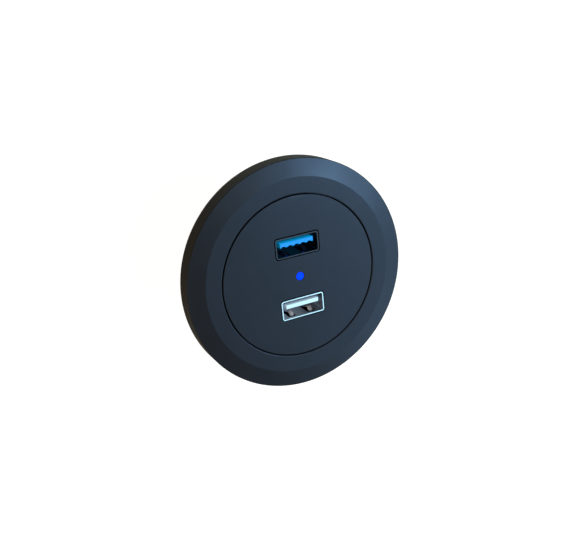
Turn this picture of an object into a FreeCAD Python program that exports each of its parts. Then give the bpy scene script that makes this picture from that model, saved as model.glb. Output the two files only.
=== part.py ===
import FreeCAD, Part
import math
import os

# In-desk charger with two USB-A sockets. Millimetres.
# The origin is on the axis, in the plane of the desk top. +Z points out of the face,
# +Y towards the upper socket, and +X to the right of someone who reads the face.

# Flange and face
flange_height = 6.3
ring_width = 4.63
chamfer_width = 4.9
chamfer_drop = 0.95
rim_edge_radius = 0.35
rim_wall = 2.2
underside_recess = 2.0
face_groove = 0.4
faceplate_thickness = 2.0
faceplate_edge = 0.12
rib_count = 12
rib_thickness = 1.2
rib_gap = 1.0
rib_height = 1.4

# Barrel, its thread and the collar that fits the hole in the desk
barrel_inner_radius = 16.0
barrel_wall = 1.6
collar_step = 0.15
collar_length = 4.0
thread_depth = 1.0
thread_pitch = 3.0
thread_root_width = 1.7
thread_crest_width = 0.7
thread_run_out = 1.2
root_ring_width = 0.6
screw_channel = 3.72

# Clamp washer and nut
thinnest_desk = 6.0
washer_thickness = 2.0
washer_radius = 27.0
washer_clearance = 0.35
washer_edge = 0.4
nut_height = 6.0
nut_radius = 25.0
nut_flange_radius = 25.6
nut_flange_thickness = 1.3
nut_running_gap = 0.05
nut_flute_count = 18
nut_flute_radius = 2.6
nut_flute_depth = 1.1
thread_clearance = 0.3

# Seat gasket
gasket_width = 3.8
gasket_edge_gap = 0.4

# USB-A sockets
socket_pitch = 18.08
shell_width = 13.1
shell_height = 5.72
shell_wall = 0.3
shell_corner = 0.7
socket_depth = 14.5
cutout_gap = 0.3
cutout_corner = 0.9
finger_spacing = 5.9
finger_width = 1.2
finger_slot = 0.5
finger_length = 5.2
finger_rise = 1.15
finger_tip_rise = 0.1
finger_bump_setback = 2.75
finger_tip_setback = 1.6
finger_tip_corner = 0.35
mouth_frame = 1.0
tab_width = 2.2
tab_length = 2.4
upper_tongue_width = 10.2
upper_tongue_thickness = 1.35
upper_tongue_gap = 1.1
lower_tongue_width = 10.2
lower_tongue_thickness = 1.25
lower_tongue_gap = 1.1
tongue_setback = 0.3
tongue_edge = 0.15
insulator_base = 2.2
insulator_clearance = 0.05
contact_places = (-3.5, -1.0, 1.0, 3.5)
contact_width = 1.0
contact_thickness = 0.25
contact_groove = 0.1
contact_setback = 0.9
contact_bow = 0.4
pad_count = 5
pad_pitch = 2.0
pad_width = 1.0
pad_length = 2.0
pad_setback = 0.9
pad_bend = 0.6
pad_recess = 0.1
pad_cover = 0.2
pad_to_contact_gap = 0.4
contact_lip_gap = 0.2
pin_width = 0.6
pin_length = 2.6

# Boards, posts and standoffs
board_thickness = 1.6
board_gap = 0.4
post_reach = 3.4
post_radius = 2.4
post_height = 8.5
post_web = 1.6
standoff_length = 10.2
standoff_width = 4.0
stud_radius = 1.0
stud_length = 5.8
screw_clearance = 0.05
hole_clearance = 0.15
hole_overrun = 0.4
pin_hole_clearance = 0.15
slot_clearance = 0.3

# Status lamp
lamp_radius = 1.15
lamp_clearance = 0.05
lamp_collar_radius = 2.0
lamp_collar_height = 1.0
lamp_gap = 0.3
led_size = 2.0
led_height = 0.8

# Rear cover and the inlet for the low-voltage plug
cover_radius = 17.4
cover_thickness = 2.4
cover_plug_depth = 2.0
cover_plug_wall = 1.2
cover_plug_clearance = 0.15
cover_edge = 0.5
boss_radius = 2.1
boss_bite = 0.5
boss_length = 15.0
boss_gap = 0.4
inlet_base_width = 9.2
inlet_base_corner = 0.8
inlet_nose_radius = 4.6
inlet_nose_length = 3.4
inlet_clearance = 0.2
inlet_bore_radius = 3.15
inlet_bore_depth = 8.6
inlet_floor = 0.8
inlet_pin_radius = 1.05
inlet_pin_setback = 0.8
inlet_leaf_width = 1.8
inlet_leaf_thickness = 0.3
inlet_leaf_slot = 0.35
inlet_leaf_bow = 0.45
inlet_tail_radius = 0.6
inlet_tail_length = 2.6

# Screws
screw_head_height = 1.2
face_screw_head_radius = 1.8
face_screw_radius = 0.8
face_screw_angles = (90.0, 210.0, 330.0)
face_boss_radius = 1.35
face_boss_clearance = 0.1
face_boss_inset = 0.32
face_screw_skin = 0.8
board_screw_head_radius = 1.9
board_screw_length = 5.0
cover_screw_head_radius = 1.8
cover_screw_radius = 0.85
cover_screw_length = 6.5
cover_screw_sink = 0.3
drive_radius = 0.95
drive_depth = 0.6

# Parts on the boards. Each angle is that of the part's middle, seen along -Z.
component_edge_gap = 0.8
header_gap = 0.4
header_count = 4
header_pitch = 2.54
header_pin = 0.64
header_tail = 1.0
inductor_angle = 225.0
inductor_size = 6.0
inductor_height = 4.2
inductor_corner = 1.0
inductor_core_radius = 2.4
inductor_gap = 0.35
capacitor_angle = 53.0
capacitor_radius = 2.5
capacitor_height = 6.2
capacitor_base = 1.0
capacitor_groove = 0.25
chip_angle = 305.0
chip_length = 4.9
chip_width = 3.9
chip_height = 1.5
chip_lead = 0.45
chip_lead_pitch = 1.27
chip_leads_per_side = 4
chip_lead_reach = 1.05
diode_gap = 0.9
diode_length = 4.4
diode_width = 2.6
diode_height = 2.2
diode_tab = 0.55
controller_gap = 0.6
controller_size = 3.0
controller_height = 0.9
fuse_angle = 154.0
fuse_length = 4.5
fuse_width = 3.2
fuse_height = 1.1
passive_length = 1.6
passive_width = 0.8
passive_height = 0.5
passive_row_x = 3.6
passive_pitch = 1.8
passive_count = 4

# Radii that follow, from the bore of the barrel out to the rim
thread_core_radius = barrel_inner_radius + barrel_wall
thread_radius = thread_core_radius + thread_depth
collar_radius = thread_radius + collar_step
root_ring_radius = collar_radius + root_ring_width
faceplate_radius = root_ring_radius + screw_channel
recess_radius = faceplate_radius + face_groove
flange_radius = recess_radius + ring_width + chamfer_width
gasket_outer_radius = flange_radius - rim_wall - gasket_edge_gap
gasket_inner_radius = gasket_outer_radius - gasket_width
rib_outer_radius = gasket_inner_radius - rib_gap
face_screw_place = faceplate_radius - face_boss_radius - face_boss_inset

# Levels that follow, from the face down to the cover, and what is set by them
face_level = flange_height
recess_level = face_level - faceplate_thickness
underside_level = underside_recess
rib_level = underside_level - rib_height
board_top = face_level - socket_depth
board_bottom = board_top - board_thickness
power_top = board_bottom - standoff_length
power_bottom = power_top - board_thickness
inlet_height = inlet_bore_depth + inlet_floor
cover_bottom = power_bottom - inlet_height
barrel_end = cover_bottom + cover_thickness
thread_start = barrel_end + thread_run_out
thread_length = -collar_length - thread_run_out - thread_start
washer_top = -thinnest_desk
washer_bottom = washer_top - washer_thickness
nut_top = washer_bottom - nut_running_gap
nut_bottom = nut_top - nut_height
washer_bore = collar_radius + washer_clearance
board_radius = barrel_inner_radius - board_gap
boss_place = barrel_inner_radius + boss_bite - boss_radius
post_place = barrel_inner_radius - post_reach
standoff_corner = standoff_width / math.sqrt(3.0)
header_place = post_place - standoff_corner - header_gap - header_pitch / 2.0
controller_place = header_place - header_pin / 2.0 - controller_gap - controller_size / 2.0
diode_place = boss_place - boss_radius - boss_gap - diode_gap - diode_tab - diode_length / 2.0
post_hole_radius = stud_radius + screw_clearance
board_hole_radius = stud_radius + hole_clearance
inner_width = shell_width - 2.0 * shell_wall
inner_height = shell_height - 2.0 * shell_wall
tongue_front = face_level - tongue_setback
cutout_width = shell_width + 2.0 * cutout_gap
cutout_height = shell_height + 2.0 * cutout_gap
led_top = board_top + led_height
socket_places = {"upper": socket_pitch / 2.0, "lower": -socket_pitch / 2.0}
tongue_widths = {"upper": upper_tongue_width, "lower": lower_tongue_width}
tongue_thicknesses = {"upper": upper_tongue_thickness, "lower": lower_tongue_thickness}
tongue_gaps = {"upper": upper_tongue_gap, "lower": lower_tongue_gap}


def disc(radius, low, high, x=0.0, y=0.0):
    return Part.makeCylinder(radius, high - low, FreeCAD.Vector(x, y, low))


def ring(outer, inner, low, high):
    return disc(outer, low, high).cut(disc(inner, low, high))


def block(width, depth, low, high, x=0.0, y=0.0):
    corner = FreeCAD.Vector(x - width / 2.0, y - depth / 2.0, low)
    return Part.makeBox(width, depth, high - low, corner)


def rounded_block(width, depth, corner, low, high, x=0.0, y=0.0):
    plain = block(width, depth, low, high, x, y)
    upright = [e for e in plain.Edges if abs(e.tangentAt(e.FirstParameter).z) > 0.99]
    return plain.makeFillet(corner, upright)


def polygon_face(points):
    return Part.Face(Part.makePolygon(points + points[:1]))


def turned(profile):
    points = [FreeCAD.Vector(radius, 0.0, level) for radius, level in profile]
    return polygon_face(points).revolve(FreeCAD.Vector(0, 0, 0), FreeCAD.Vector(0, 0, 1), 360)


def strip(path, thickness, width, x):
    """A bent strip of sheet metal. The path is (y, z) points along the middle of its thickness."""
    near = []
    far = []
    for index, (y, z) in enumerate(path):
        before = path[max(index - 1, 0)]
        after = path[min(index + 1, len(path) - 1)]
        along = math.hypot(after[0] - before[0], after[1] - before[1])
        across_y = (before[1] - after[1]) / along * thickness / 2.0
        across_z = (after[0] - before[0]) / along * thickness / 2.0
        near.append(FreeCAD.Vector(x - width / 2.0, y - across_y, z - across_z))
        far.append(FreeCAD.Vector(x - width / 2.0, y + across_y, z + across_z))
    return polygon_face(near + far[::-1]).extrude(FreeCAD.Vector(width, 0, 0))


def at_angle(shape, angle):
    turned_copy = shape.copy()
    turned_copy.rotate(FreeCAD.Vector(0, 0, 0), FreeCAD.Vector(0, 0, 1), angle)
    return turned_copy


def polar(radius, angle):
    return radius * math.cos(math.radians(angle)), radius * math.sin(math.radians(angle))


def board_place(reach, angle):
    """The middle of a part near the edge of a board, where reach is from its middle to its far corner."""
    return polar(board_radius - component_edge_gap - reach, angle)


def bevel_rims(shape, size, radius, level):
    """Bevels the round edges of one radius at one level."""
    rims = [
        edge
        for edge in shape.Edges
        if isinstance(edge.Curve, Part.Circle)
        and abs(edge.Curve.Radius - radius) < 0.001
        and abs(edge.Curve.Center.z - level) < 0.001
    ]
    return shape.makeChamfer(size, rims)


def helix_thread(inner_radius, outer_radius, inner_width_here, outer_width_here, start, turns):
    """A right-hand ridge of trapezoid section that winds up the Z axis."""
    path = Part.makeHelix(thread_pitch, turns * thread_pitch, inner_radius)
    section = Part.makePolygon(
        [
            FreeCAD.Vector(inner_radius, 0, -inner_width_here / 2.0),
            FreeCAD.Vector(outer_radius, 0, -outer_width_here / 2.0),
            FreeCAD.Vector(outer_radius, 0, outer_width_here / 2.0),
            FreeCAD.Vector(inner_radius, 0, inner_width_here / 2.0),
            FreeCAD.Vector(inner_radius, 0, -inner_width_here / 2.0),
        ]
    )
    ridge = Part.Wire(path.Edges).makePipeShell([section], True, True)
    ridge.translate(FreeCAD.Vector(0, 0, start))
    return ridge


def pan_screw(head_radius, shank_radius, length, seat, x, y):
    """A screw that goes up from its head. The seat is the level of the head's bearing face."""
    head = disc(head_radius, seat - screw_head_height, seat, x, y)
    shank = disc(shank_radius, seat, seat + length, x, y)
    drive_floor = seat - screw_head_height + drive_depth
    socket_width = 2.0 * drive_radius
    cross = block(socket_width, socket_width / 4.0, seat - screw_head_height, drive_floor, x, y)
    cross = cross.fuse(block(socket_width / 4.0, socket_width, seat - screw_head_height, drive_floor, x, y))
    return head.fuse(shank).cut(cross)


def flange_section():
    """The flange and the plain barrel as one turned profile, from the rim round to the bore."""
    corner = face_level - chamfer_drop
    slope = chamfer_drop / chamfer_width
    return [
        (flange_radius, 0.0),
        (flange_radius, corner - rim_edge_radius),
        (flange_radius - rim_edge_radius, corner + slope * rim_edge_radius),
        (flange_radius - chamfer_width, face_level),
        (recess_radius, face_level),
        (recess_radius, recess_level),
        (barrel_inner_radius, recess_level),
        (barrel_inner_radius, barrel_end),
        (thread_core_radius, barrel_end),
        (thread_core_radius, -collar_length),
        (collar_radius, -collar_length),
        (collar_radius, rib_level),
        (root_ring_radius, rib_level),
        (root_ring_radius, underside_level),
        (flange_radius - rim_wall, underside_level),
        (flange_radius - rim_wall, 0.0),
    ]


def bezel_housing():
    body = turned(flange_section())
    bite = thread_depth / 4.0
    slope = (thread_root_width - thread_crest_width) / thread_depth
    ridge = helix_thread(
        thread_core_radius - bite,
        thread_radius,
        thread_root_width + slope * bite,
        thread_crest_width,
        thread_start,
        thread_length / thread_pitch,
    )
    additions = [ridge]
    rib_start = (collar_radius + root_ring_radius) / 2.0
    rib_length = rib_outer_radius - rib_start
    rib_middle = (rib_outer_radius + rib_start) / 2.0
    rib = block(rib_length, rib_thickness, rib_level, underside_level, rib_middle, 0.0)
    for index in range(rib_count):
        additions.append(at_angle(rib, (index + 0.5) * 360.0 / rib_count))
    post_top = board_top + post_height
    for side in (-1, 1):
        post = disc(post_radius, board_top, post_top, side * post_place, 0.0)
        web_reach = barrel_inner_radius + boss_bite - post_place
        web_middle = side * (post_place + web_reach / 2.0)
        web = block(web_reach, post_web, board_top, post_top, web_middle, 0.0)
        additions.extend([post, web])
        boss = disc(boss_radius, barrel_end, barrel_end + boss_length, 0.0, side * boss_place)
        additions.append(boss)
    body = body.fuse(additions)
    stud_hole_top = board_top + stud_length + hole_overrun
    screw_hole_top = barrel_end + cover_screw_length
    screw_hole_radius = cover_screw_radius + screw_clearance
    face_hole_radius = face_boss_radius + face_boss_clearance
    holes = []
    for side in (-1, 1):
        holes.append(disc(post_hole_radius, board_top, stud_hole_top, side * post_place, 0.0))
        holes.append(disc(screw_hole_radius, barrel_end, screw_hole_top, 0.0, side * boss_place))
    for angle in face_screw_angles:
        x, y = polar(face_screw_place, angle)
        holes.append(disc(face_hole_radius, underside_level, recess_level, x, y))
    return body.cut(holes)


def faceplate():
    plate = disc(faceplate_radius, recess_level, face_level)
    plate = bevel_rims(plate, faceplate_edge, faceplate_radius, face_level)
    boss_places = [polar(face_screw_place, angle) for angle in face_screw_angles]
    bosses = [disc(face_boss_radius, underside_level, recess_level, x, y) for x, y in boss_places]
    plate = plate.fuse(bosses)
    openings = [disc(lamp_radius + lamp_clearance, recess_level, face_level)]
    window = rounded_block(cutout_width, cutout_height, cutout_corner, recess_level, face_level)
    for place in socket_places.values():
        openings.append(window.translated(FreeCAD.Vector(0.0, place, 0.0)))
    pilot_top = face_level - face_screw_skin
    for x, y in boss_places:
        openings.append(disc(face_screw_radius + screw_clearance, underside_level, pilot_top, x, y))
    return plate.cut(openings)


def seat_gasket():
    return ring(gasket_outer_radius, gasket_inner_radius, 0.0, underside_level)


def clamp_washer():
    plate = ring(washer_radius, washer_bore, washer_bottom, washer_top)
    plate = bevel_rims(plate, washer_edge, washer_radius, washer_top)
    return bevel_rims(plate, washer_edge, washer_radius, washer_bottom)


def clamp_nut():
    flange_level = nut_top - nut_flange_thickness
    body = disc(nut_radius, nut_bottom, flange_level)
    flutes = []
    for index in range(nut_flute_count):
        reach = nut_radius + nut_flute_radius - nut_flute_depth
        x, y = polar(reach, index * 360.0 / nut_flute_count)
        flutes.append(disc(nut_flute_radius, nut_bottom, flange_level, x, y))
    body = body.cut(flutes).fuse(disc(nut_flange_radius, flange_level, nut_top))
    minor_radius = thread_core_radius + thread_clearance
    body = body.cut(disc(minor_radius, nut_bottom, nut_top))
    slope = (thread_root_width - thread_crest_width) / thread_depth
    wide = thread_root_width + 2.0 * thread_clearance
    reach_in = thread_depth / 4.0
    turns = math.ceil(nut_height / thread_pitch) + 2
    steps_up = math.floor((nut_bottom - thread_start) / thread_pitch) - 1
    groove = helix_thread(
        thread_core_radius - reach_in,
        thread_radius + thread_clearance,
        wide + slope * reach_in,
        wide - slope * (thread_depth + thread_clearance),
        thread_start + steps_up * thread_pitch,
        turns + 1,
    )
    return body.cut(groove)


def finger_path(wall_line):
    """From the root, deep in the socket, to the bump and the raised tip near the mouth."""
    bump_level = face_level - finger_bump_setback
    tip_level = face_level - finger_tip_setback
    root_level = tip_level - finger_length
    return [
        (wall_line, root_level - shell_wall),
        (wall_line, root_level),
        (wall_line + finger_rise, bump_level),
        (wall_line + finger_tip_rise, tip_level),
    ]


def spring_finger(wall_line, x):
    finger = strip(finger_path(wall_line), shell_wall, finger_width, x)
    tip_level = face_level - finger_tip_setback
    tip_edges = [e for e in finger.Edges if min(v.Z for v in e.Vertexes) > tip_level - shell_wall]
    corners = [e for e in tip_edges if abs(e.Vertexes[0].X - e.Vertexes[-1].X) < 0.001]
    return finger.makeFillet(finger_tip_corner, corners)


def socket_shell(level):
    place = socket_places[level]
    outer = rounded_block(shell_width, shell_height, shell_corner, board_top, face_level, 0.0, place)
    inner_corner = shell_corner - shell_wall
    inner = rounded_block(inner_width, inner_height, inner_corner, board_top, face_level, 0.0, place)
    shell = outer.cut(inner)
    wall_line = place - shell_height / 2.0 + shell_wall / 2.0
    root_level = face_level - finger_tip_setback - finger_length
    for side in (-1, 1):
        x = side * finger_spacing / 2.0
        slot_width = finger_width + 2.0 * finger_slot
        window = block(slot_width, 2.0 * shell_wall, root_level, face_level - mouth_frame, x, wall_line)
        shell = shell.cut(window).fuse(spring_finger(wall_line, x))
        tab_x = side * (shell_width - shell_wall) / 2.0
        tab = block(shell_wall, tab_width, board_top - tab_length, board_top + shell_corner, tab_x, place)
        shell = shell.fuse(tab)
    return shell


def tongue_top(level):
    return socket_places[level] + inner_height / 2.0 - tongue_gaps[level]


def tongue_bottom(level):
    return tongue_top(level) - tongue_thicknesses[level]


def contact_line(level):
    """The y of the blades' middle, where they lie in the underside of the tongue."""
    return tongue_bottom(level) + contact_thickness / 2.0


def pad_line(level):
    """The y of the stretch of each front pad that is buried in the tongue."""
    return tongue_top(level) - pad_cover - contact_thickness / 2.0


def pad_places():
    first = -(pad_count - 1) / 2.0
    return [(first + index) * pad_pitch for index in range(pad_count)]


def contact_front(level):
    """The level of the blades' front ends. The upper socket's blades stop behind its front pads."""
    if level == "upper":
        return tongue_front - pad_setback - pad_length - pad_bend - pad_to_contact_gap
    return tongue_front - contact_setback


def pins_of(level):
    """The (x, y) of each pin that goes down through the board."""
    pins = [(x, contact_line(level)) for x in contact_places]
    if level == "upper":
        pins += [(x, pad_line(level)) for x in pad_places()]
    return pins


def pin_at(x, y):
    return block(pin_width, contact_thickness, board_top - pin_length, board_top, x, y)


def contact_blades(level):
    """Four sprung blades under the tongue, each with a pin."""
    front = contact_front(level)
    line = contact_line(level)
    bow_low = front - 4.0 * contact_bow
    bow_high = front - 1.5 * contact_bow
    path = [
        (line, board_top),
        (line, board_top + insulator_base),
        (line, bow_low - 4.0 * contact_bow),
        (line - contact_bow, bow_low),
        (line - contact_bow, bow_high),
        (line, front),
    ]
    return [strip(path, contact_thickness, contact_width, x).fuse(pin_at(x, line)) for x in contact_places]


def front_pads(level):
    """Five flat pads at the front of the tongue, each bent up into it and led back to a pin."""
    front = tongue_front - pad_setback
    line = contact_line(level) + pad_recess
    buried = pad_line(level)
    path = [
        (buried, board_top),
        (buried, front - pad_length - pad_bend),
        (line, front - pad_length),
        (line, front),
    ]
    return [strip(path, contact_thickness, pad_width, x).fuse(pin_at(x, buried)) for x in pad_places()]


def socket_contacts(level):
    if level == "upper":
        return contact_blades(level) + front_pads(level)
    return contact_blades(level)


def socket_insulator(level):
    place = socket_places[level]
    base_width = inner_width - 2.0 * insulator_clearance
    base_height = inner_height - 2.0 * insulator_clearance
    base_corner = shell_corner - shell_wall
    base_top = board_top + insulator_base
    base = rounded_block(base_width, base_height, base_corner, board_top, base_top, 0.0, place)
    tongue_middle = (tongue_top(level) + tongue_bottom(level)) / 2.0
    thickness = tongue_thicknesses[level]
    tongue = block(tongue_widths[level], thickness, base_top, tongue_front, 0.0, tongue_middle)
    front_edges = [e for e in tongue.Edges if all(abs(v.Z - tongue_front) < 0.001 for v in e.Vertexes)]
    tongue = tongue.makeChamfer(tongue_edge, front_edges)
    moulding = base.fuse(tongue)
    groove_width = contact_width + 2.0 * contact_groove
    groove_top = contact_front(level) + contact_lip_gap
    line = contact_line(level)
    openings = []
    for x in contact_places:
        openings.append(block(groove_width, contact_thickness, board_top, groove_top, x, line))
    if level == "upper":
        pad_groove_width = pad_width + 2.0 * contact_groove
        depth = pad_recess + contact_thickness
        middle = tongue_bottom(level) + depth / 2.0
        low = tongue_front - pad_setback - pad_length
        for x in pad_places():
            openings.append(block(pad_groove_width, depth, low, tongue_front, x, middle))
        openings += front_pads(level)
    return moulding.cut(openings)


def light_pipe():
    foot = led_top + lamp_gap
    rod = disc(lamp_radius, foot, face_level)
    return rod.fuse(disc(lamp_collar_radius, recess_level - lamp_collar_height, recess_level))


def status_led():
    body = block(led_size, led_size * 0.6, board_top, led_top - led_height / 3.0)
    return body.fuse(block(led_size * 0.6, led_size * 0.6, board_top, led_top))


def post_holes(low, high):
    return [disc(board_hole_radius, low, high, side * post_place, 0.0) for side in (-1, 1)]


def header_places():
    first = -(header_count - 1) / 2.0
    return [(first + index) * header_pitch for index in range(header_count)]


def header_holes(low, high):
    radius = header_pin * math.sqrt(0.5) + pin_hole_clearance
    return [disc(radius, low, high, header_place, y) for y in header_places()]


def boss_notches(low, high):
    radius = boss_radius + boss_gap
    return [disc(radius, low, high, 0.0, side * boss_place) for side in (-1, 1)]


def socket_board():
    board = disc(board_radius, board_bottom, board_top)
    openings = post_holes(board_bottom, board_top) + header_holes(board_bottom, board_top)
    pin_hole = math.hypot(pin_width, contact_thickness) / 2.0 + pin_hole_clearance
    for level, place in socket_places.items():
        for x, y in pins_of(level):
            openings.append(disc(pin_hole, board_bottom, board_top, x, y))
        for side in (-1, 1):
            tab_x = side * (shell_width - shell_wall) / 2.0
            slot_x = shell_wall + slot_clearance
            slot_y = tab_width + slot_clearance
            openings.append(block(slot_x, slot_y, board_bottom, board_top, tab_x, place))
    return board.cut(openings)


def power_board():
    board = disc(board_radius, power_bottom, power_top)
    openings = post_holes(power_bottom, power_top) + header_holes(power_bottom, power_top)
    openings += boss_notches(power_bottom, power_top)
    openings.append(disc(inlet_tail_radius + pin_hole_clearance, power_bottom, power_top))
    leaf_hole = math.hypot(inlet_leaf_width / 2.0, inlet_leaf_thickness) / 2.0 + pin_hole_clearance
    openings.append(disc(leaf_hole, power_bottom, power_top, 0.0, -leaf_line()))
    return board.cut(openings)


def standoffs():
    pieces = []
    for side in (-1, 1):
        x = side * post_place
        corners = [polar(standoff_corner, 60.0 * index) for index in range(6)]
        outline = polygon_face([FreeCAD.Vector(x + cx, cy, power_top) for cx, cy in corners])
        body = outline.extrude(FreeCAD.Vector(0, 0, standoff_length))
        body = body.fuse(disc(stud_radius, board_bottom, board_top + stud_length, x, 0.0))
        hole_top = power_top + board_screw_length - board_thickness + hole_overrun
        pieces.append(body.cut(disc(post_hole_radius, power_top, hole_top, x, 0.0)))
    return pieces


def board_screws():
    pieces = []
    for side in (-1, 1):
        screw = pan_screw(
            board_screw_head_radius, stud_radius, board_screw_length, power_bottom, side * post_place, 0.0
        )
        pieces.append(screw)
    return pieces


def faceplate_screws():
    pieces = []
    for angle in face_screw_angles:
        x, y = polar(face_screw_place, angle)
        length = face_level - face_screw_skin - underside_level
        pieces.append(pan_screw(face_screw_head_radius, face_screw_radius, length, underside_level, x, y))
    return pieces


def cover_screw_seat():
    return cover_bottom + cover_screw_sink + screw_head_height


def cover_screws():
    pieces = []
    for side in (-1, 1):
        length = cover_screw_length - (cover_screw_seat() - cover_bottom)
        place = side * boss_place
        pieces.append(
            pan_screw(cover_screw_head_radius, cover_screw_radius, length, cover_screw_seat(), 0.0, place)
        )
    return pieces


def rear_cover():
    plate = disc(cover_radius, cover_bottom, barrel_end)
    plate = bevel_rims(plate, cover_edge, cover_radius, cover_bottom)
    plug_radius = barrel_inner_radius - cover_plug_clearance
    plug_top = barrel_end + cover_plug_depth
    plug = ring(plug_radius, plug_radius - cover_plug_wall, barrel_end, plug_top)
    plug = plug.cut(boss_notches(barrel_end, plug_top))
    openings = [disc(inlet_nose_radius + inlet_clearance, cover_bottom, barrel_end)]
    for side in (-1, 1):
        place = side * boss_place
        openings.append(disc(cover_screw_radius + hole_clearance, cover_bottom, barrel_end, 0.0, place))
        pocket_radius = cover_screw_head_radius + hole_clearance
        openings.append(disc(pocket_radius, cover_bottom, cover_screw_seat(), 0.0, place))
    return plate.fuse(plug).cut(openings)


def leaf_line():
    return inlet_bore_radius + inlet_leaf_thickness / 2.0


def inlet_body():
    nose_top = cover_bottom + inlet_nose_length
    base = rounded_block(inlet_base_width, inlet_base_width, inlet_base_corner, nose_top, power_bottom)
    body = base.fuse(disc(inlet_nose_radius, cover_bottom, nose_top))
    bore_top = cover_bottom + inlet_bore_depth
    slot_depth = inlet_leaf_thickness + inlet_leaf_slot
    slot_width = inlet_leaf_width + inlet_leaf_slot
    slot_line = -(inlet_bore_radius + slot_depth / 2.0 - inlet_leaf_slot)
    openings = [
        disc(inlet_bore_radius, cover_bottom, bore_top),
        disc(inlet_pin_radius + screw_clearance, bore_top, power_bottom),
        block(slot_width, slot_depth + inlet_leaf_slot, nose_top, power_bottom, 0.0, slot_line),
    ]
    return body.cut(openings)


def inlet_pin():
    tip = cover_bottom + inlet_pin_setback
    post = disc(inlet_pin_radius, tip, power_bottom)
    post = bevel_rims(post, inlet_pin_radius / 3.0, inlet_pin_radius, tip)
    return post.fuse(disc(inlet_tail_radius, power_bottom, power_bottom + inlet_tail_length))


def inlet_leaf():
    """The sprung side contact, bowed into the bore, with a tail through the board."""
    line = -leaf_line()
    low = cover_bottom + inlet_nose_length + inlet_leaf_slot
    middle = (low + power_bottom) / 2.0
    path = [
        (line, low),
        (line + inlet_leaf_bow, (low + middle) / 2.0),
        (line, middle),
        (line, power_bottom),
    ]
    leaf = strip(path, inlet_leaf_thickness, inlet_leaf_width, 0.0)
    tail_top = power_bottom + inlet_tail_length
    return leaf.fuse(block(inlet_leaf_width / 2.0, inlet_leaf_thickness, power_bottom, tail_top, 0.0, line))


def board_header():
    """A plastic bar with square pins that joins the two boards."""
    length = header_count * header_pitch
    bar = block(header_pitch, length, power_top, board_bottom, header_place, 0.0)
    pins = [header_pin_at(y) for y in header_places()]
    return [bar.cut(pins)] + pins


def header_pin_at(y):
    low = power_bottom - header_tail
    return block(header_pin, header_pin, low, board_top + header_tail, header_place, y)


def inductor():
    top = power_top + inductor_height
    groove_low = top - inductor_gap
    x, y = board_place(inductor_size * math.sqrt(0.5), inductor_angle)
    case = rounded_block(inductor_size, inductor_size, inductor_corner, power_top, top, x, y)
    groove = disc(inductor_core_radius + inductor_gap, groove_low, top, x, y)
    return case.cut(groove.cut(disc(inductor_core_radius, groove_low, top, x, y)))


def capacitors():
    pieces = []
    for side in (-1, 1):
        x, y = board_place(capacitor_radius * math.sqrt(2.0), 90.0 + side * (90.0 - capacitor_angle))
        base_top = power_top + capacitor_base
        width = 2.0 * capacitor_radius
        foot = rounded_block(width, width, capacitor_radius / 4.0, power_top, base_top, x, y)
        can = disc(capacitor_radius, base_top, power_top + capacitor_height, x, y)
        waist_low = base_top + 3.0 * capacitor_groove
        waist_high = waist_low + 2.0 * capacitor_groove
        waist = disc(capacitor_radius, waist_low, waist_high, x, y)
        waist = waist.cut(disc(capacitor_radius - capacitor_groove, waist_low, waist_high, x, y))
        pieces.append(foot.fuse(can.cut(waist)))
    return pieces


def converter_chip():
    """A moulded chip with a row of flat leads along each of its long sides."""
    reach = math.hypot(chip_length, chip_width + 2.0 * chip_lead_reach) / 2.0
    x, y = board_place(reach, chip_angle)
    body = block(chip_width, chip_length, power_top, power_top + chip_height, x, y)
    leads = []
    for side in (-1, 1):
        lead_x = x + side * (chip_width + chip_lead_reach) / 2.0
        for index in range(chip_leads_per_side):
            lead_y = y + (index - (chip_leads_per_side - 1) / 2.0) * chip_lead_pitch
            lead_top = power_top + chip_lead / 2.0
            leads.append(block(chip_lead_reach, chip_lead, power_top, lead_top, lead_x, lead_y))
    return body.fuse(leads)


def rectifier_diode():
    body = block(diode_width, diode_length, power_top, power_top + diode_height, 0.0, diode_place)
    tabs_length = diode_length + 2.0 * diode_tab
    tabs = block(diode_width / 2.0, tabs_length, power_top, power_top + diode_tab / 2.0, 0.0, diode_place)
    return body.fuse(tabs)


def port_controllers():
    pieces = []
    for side in (-1, 1):
        top = board_top + controller_height
        pieces.append(block(controller_size, controller_size, board_top, top, side * controller_place, 0.0))
    return pieces


def input_fuse():
    x, y = board_place(math.hypot(fuse_length, fuse_width) / 2.0, fuse_angle)
    return block(fuse_length, fuse_width, power_bottom - fuse_height, power_bottom, x, y)


def chip_resistors():
    pieces = []
    for side in (-1, 1):
        for index in range(passive_count):
            y = (index - (passive_count - 1) / 2.0) * passive_pitch
            low = board_bottom - passive_height
            pieces.append(block(passive_length, passive_width, low, board_bottom, side * passive_row_x, y))
    return pieces


def save(name, *shapes):
    solids = [solid for shape in shapes for solid in shape.Solids]
    kept = solids[0] if len(solids) == 1 else Part.makeCompound(solids)
    kept.exportStep(os.path.join("parts", name + ".step"))
    print(name, len(solids), round(kept.Volume, 2), kept.isValid())


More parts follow.
